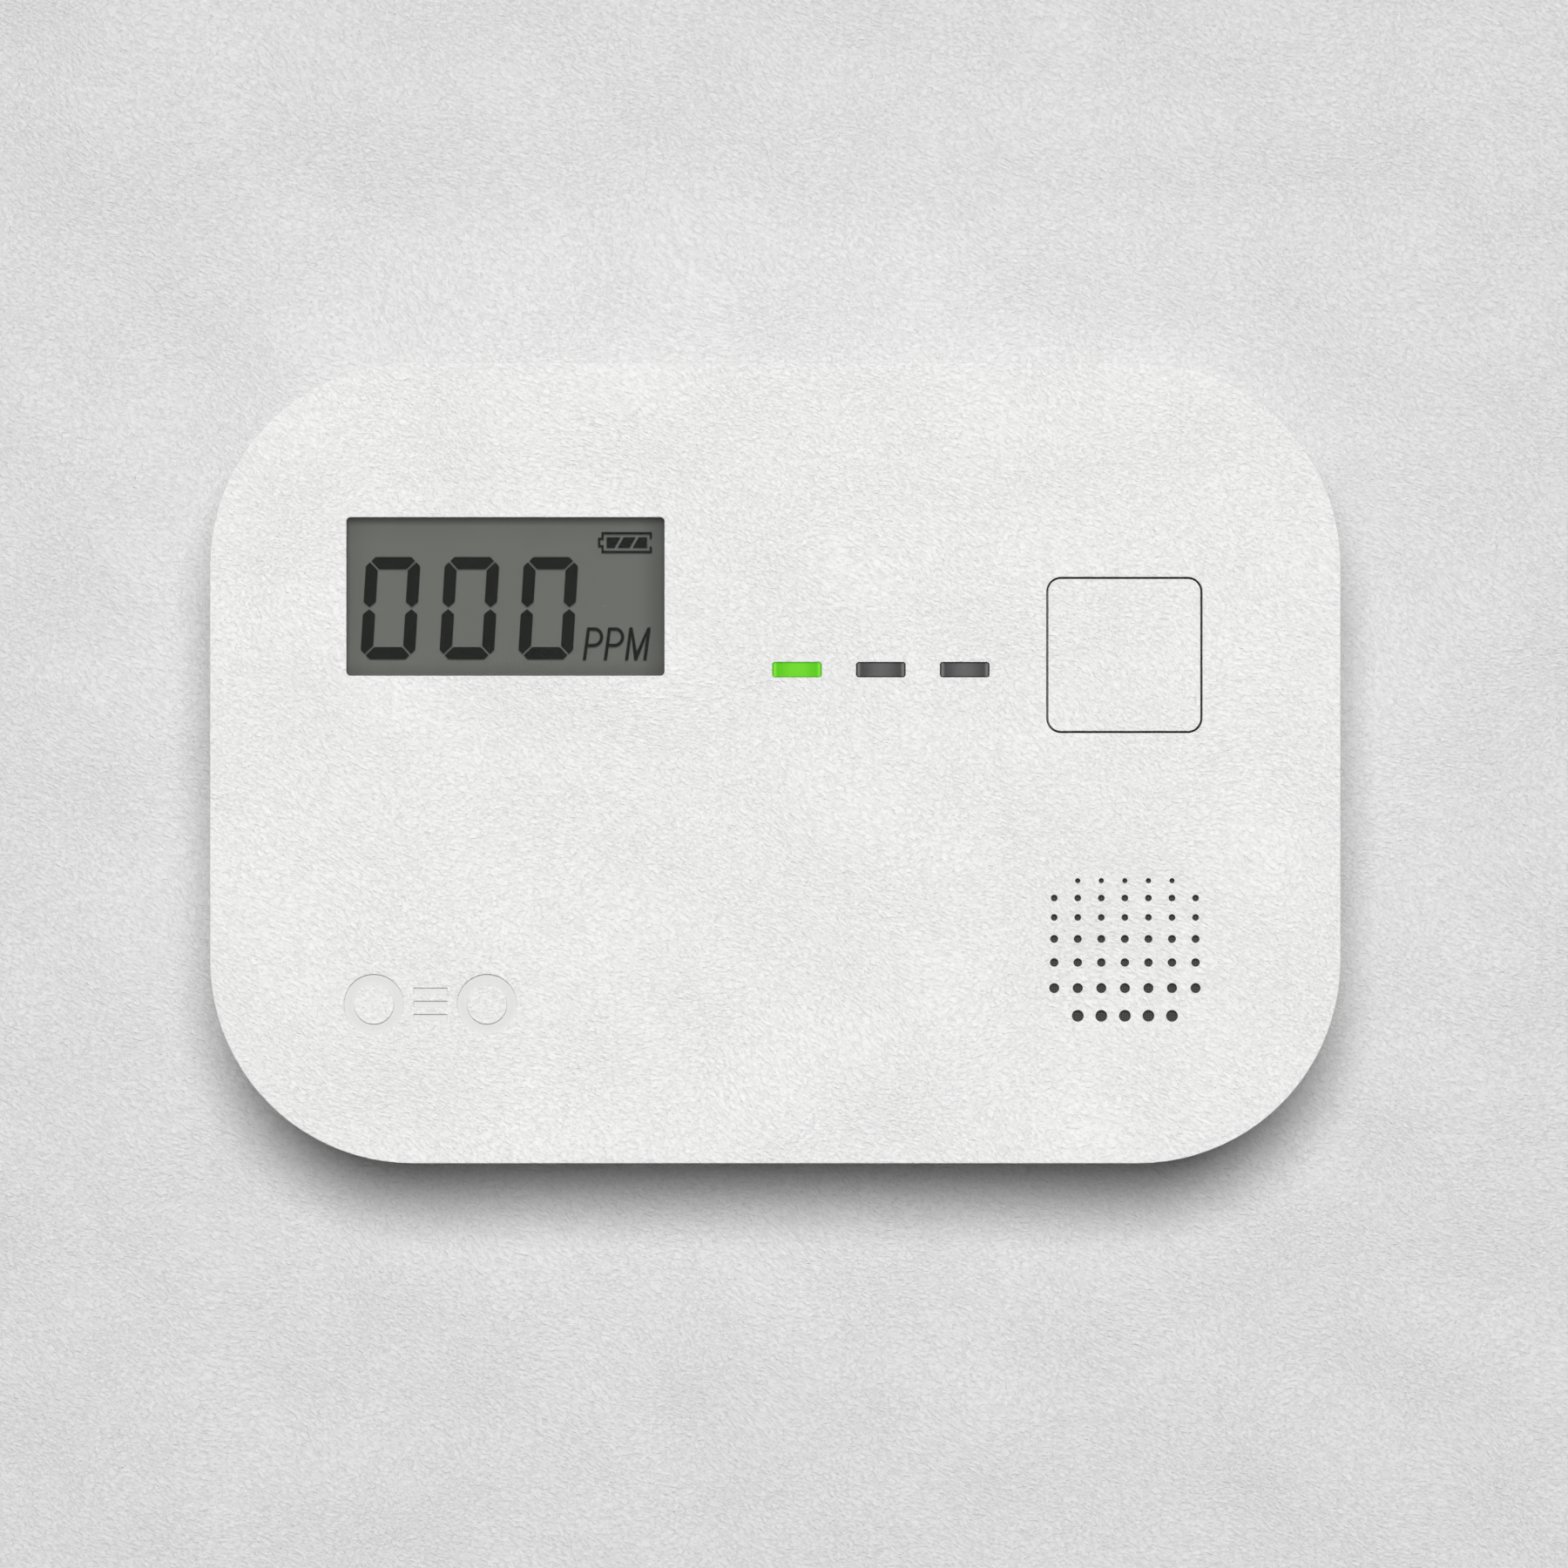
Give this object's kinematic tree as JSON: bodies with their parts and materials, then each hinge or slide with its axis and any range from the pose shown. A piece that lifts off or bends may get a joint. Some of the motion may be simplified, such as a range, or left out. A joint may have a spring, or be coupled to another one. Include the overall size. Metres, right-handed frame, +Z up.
{
  "type": "carbon monoxide detector",
  "caption": "Wall-mounted carbon monoxide detector with a segment display, status lights, a test button, a sounder grille, a hook-on bracket and a hinged battery door.",
  "frame": {"origin": "on the wall plane, midway between the two wall-screw holes of the bracket", "axes": "+X to the right of someone facing the detector, +Y into the wall, +Z up"},
  "size_m": [0.12, 0.036, 0.085],
  "materials": {
    "front_case": "fine textured moulded ABS",
    "rear_case": "fine textured moulded ABS",
    "bracket_plastic": "moulded ABS",
    "clear_plastic": "clear polycarbonate",
    "display_glass": "polished",
    "liquid_crystal": "dark liquid-crystal segments",
    "reflector_film": "satin grey-green film",
    "white_plastic": "moulded",
    "black_plastic": "moulded",
    "light_pipe_lit": "milky acrylic, glowing green",
    "light_pipe_dark": "smoked acrylic",
    "led_body": "moulded lamp",
    "led_body_lit": "moulded lamp, glowing green",
    "board_laminate": "green solder mask",
    "tinned_metal": "tin plated",
    "zinc_screw": "zinc plated",
    "chip_package": "moulded epoxy",
    "chip_ceramic": "sintered",
    "ferrite": "sintered ferrite",
    "copper_wire": "enamelled copper",
    "capacitor_sleeve": "shrink sleeve",
    "brass_disc": "rolled",
    "piezo_ceramic": "silvered",
    "foam_gasket": "closed-cell foam",
    "dust_mesh": "woven",
    "sensor_steel": "drawn steel",
    "sensor_membrane": "porous film",
    "gold_pin": "gold plated",
    "cell_steel": "nickel plated",
    "cell_sleeve": "shrink sleeve with a copper-coloured band",
    "contact_steel": "nickel plated spring steel",
    "label_film": "silver film, blank but for a border and rules"
  },
  "bodies": {
    "wall_bracket": {"wall_bracket": "bracket_plastic"},
    "case": {"rear_cover": "rear_case", "front_cover": "front_case", "rating_label": "label_film", "case_screws": "zinc_screw", "board_screws": "zinc_screw", "display_lens": "clear_plastic", "display_front_glass": "display_glass", "display_segments": "liquid_crystal", "display_rear_glass": "display_glass", "display_reflector": "reflector_film", "display_holder": "white_plastic", "display_pins": "tinned_metal", "light_shroud": "black_plastic", "power_light_pipe": "light_pipe_lit", "fault_light_pipe": "light_pipe_dark", "alarm_light_pipe": "light_pipe_dark", "power_led": "led_body_lit", "fault_led": "led_body", "alarm_led": "led_body", "switch_housing": "black_plastic", "switch_cover": "tinned_metal", "switch_legs": "tinned_metal", "grille_mesh": "dust_mesh", "sounder_gasket": "foam_gasket", "sounder_housing": "black_plastic", "sounder_base": "black_plastic", "sounder_pins": "tinned_metal", "piezo_plate": "brass_disc", "piezo_ceramic": "piezo_ceramic", "gas_sensor_can": "sensor_steel", "gas_sensor_cap": "sensor_steel", "gas_sensor_membrane": "sensor_membrane", "gas_sensor_pins": "gold_pin", "battery_upper_cell": "cell_steel", "battery_upper_sleeve": "cell_sleeve", "battery_lower_cell": "cell_steel", "battery_lower_sleeve": "cell_sleeve", "battery_link_plate": "contact_steel", "battery_link_spring": "contact_steel", "battery_positive_plate": "contact_steel", "battery_negative_plate": "contact_steel", "battery_negative_spring": "contact_steel", "circuit_board": "board_laminate", "microcontroller": "chip_package", "microcontroller_pins": "tinned_metal", "sensor_amplifier": "chip_package", "amplifier_pins": "tinned_metal", "boost_coil": "ferrite", "boost_winding": "copper_wire", "storage_capacitor": "capacitor_sleeve", "chip_parts": "chip_ceramic", "chip_ends": "tinned_metal", "solder_joints": "tinned_metal"},
    "battery_door": {"battery_door": "rear_case"},
    "test_button": {"test_button": "front_case", "button_seal": "foam_gasket"},
    "switch_plunger": {"switch_plunger": "black_plastic"}
  },
  "joints": [
    {"name": "case_lift", "type": "slide", "parent": "wall_bracket", "child": "case", "axis": [0, 0, 1], "range_m": [0, 0.0028]},
    {"name": "battery_door_hinge", "type": "hinge", "parent": "case", "child": "battery_door", "pos_m": [0, -0.0022, -0.02595], "axis": [1, 0, 0], "range_deg": [0, 90]},
    {"name": "button_press", "type": "slide", "parent": "case", "child": "test_button", "axis": [0, 1, 0], "range_m": [0, 0.0005], "stiffness_N_per_m": 2000},
    {"name": "plunger_travel", "type": "slide", "parent": "case", "child": "switch_plunger", "axis": [0, 1, 0], "range_m": [0, 0.0005]}
  ],
  "couplings": [
    {"joint": "plunger_travel", "follows": "button_press", "ratio": 1}
  ]
}
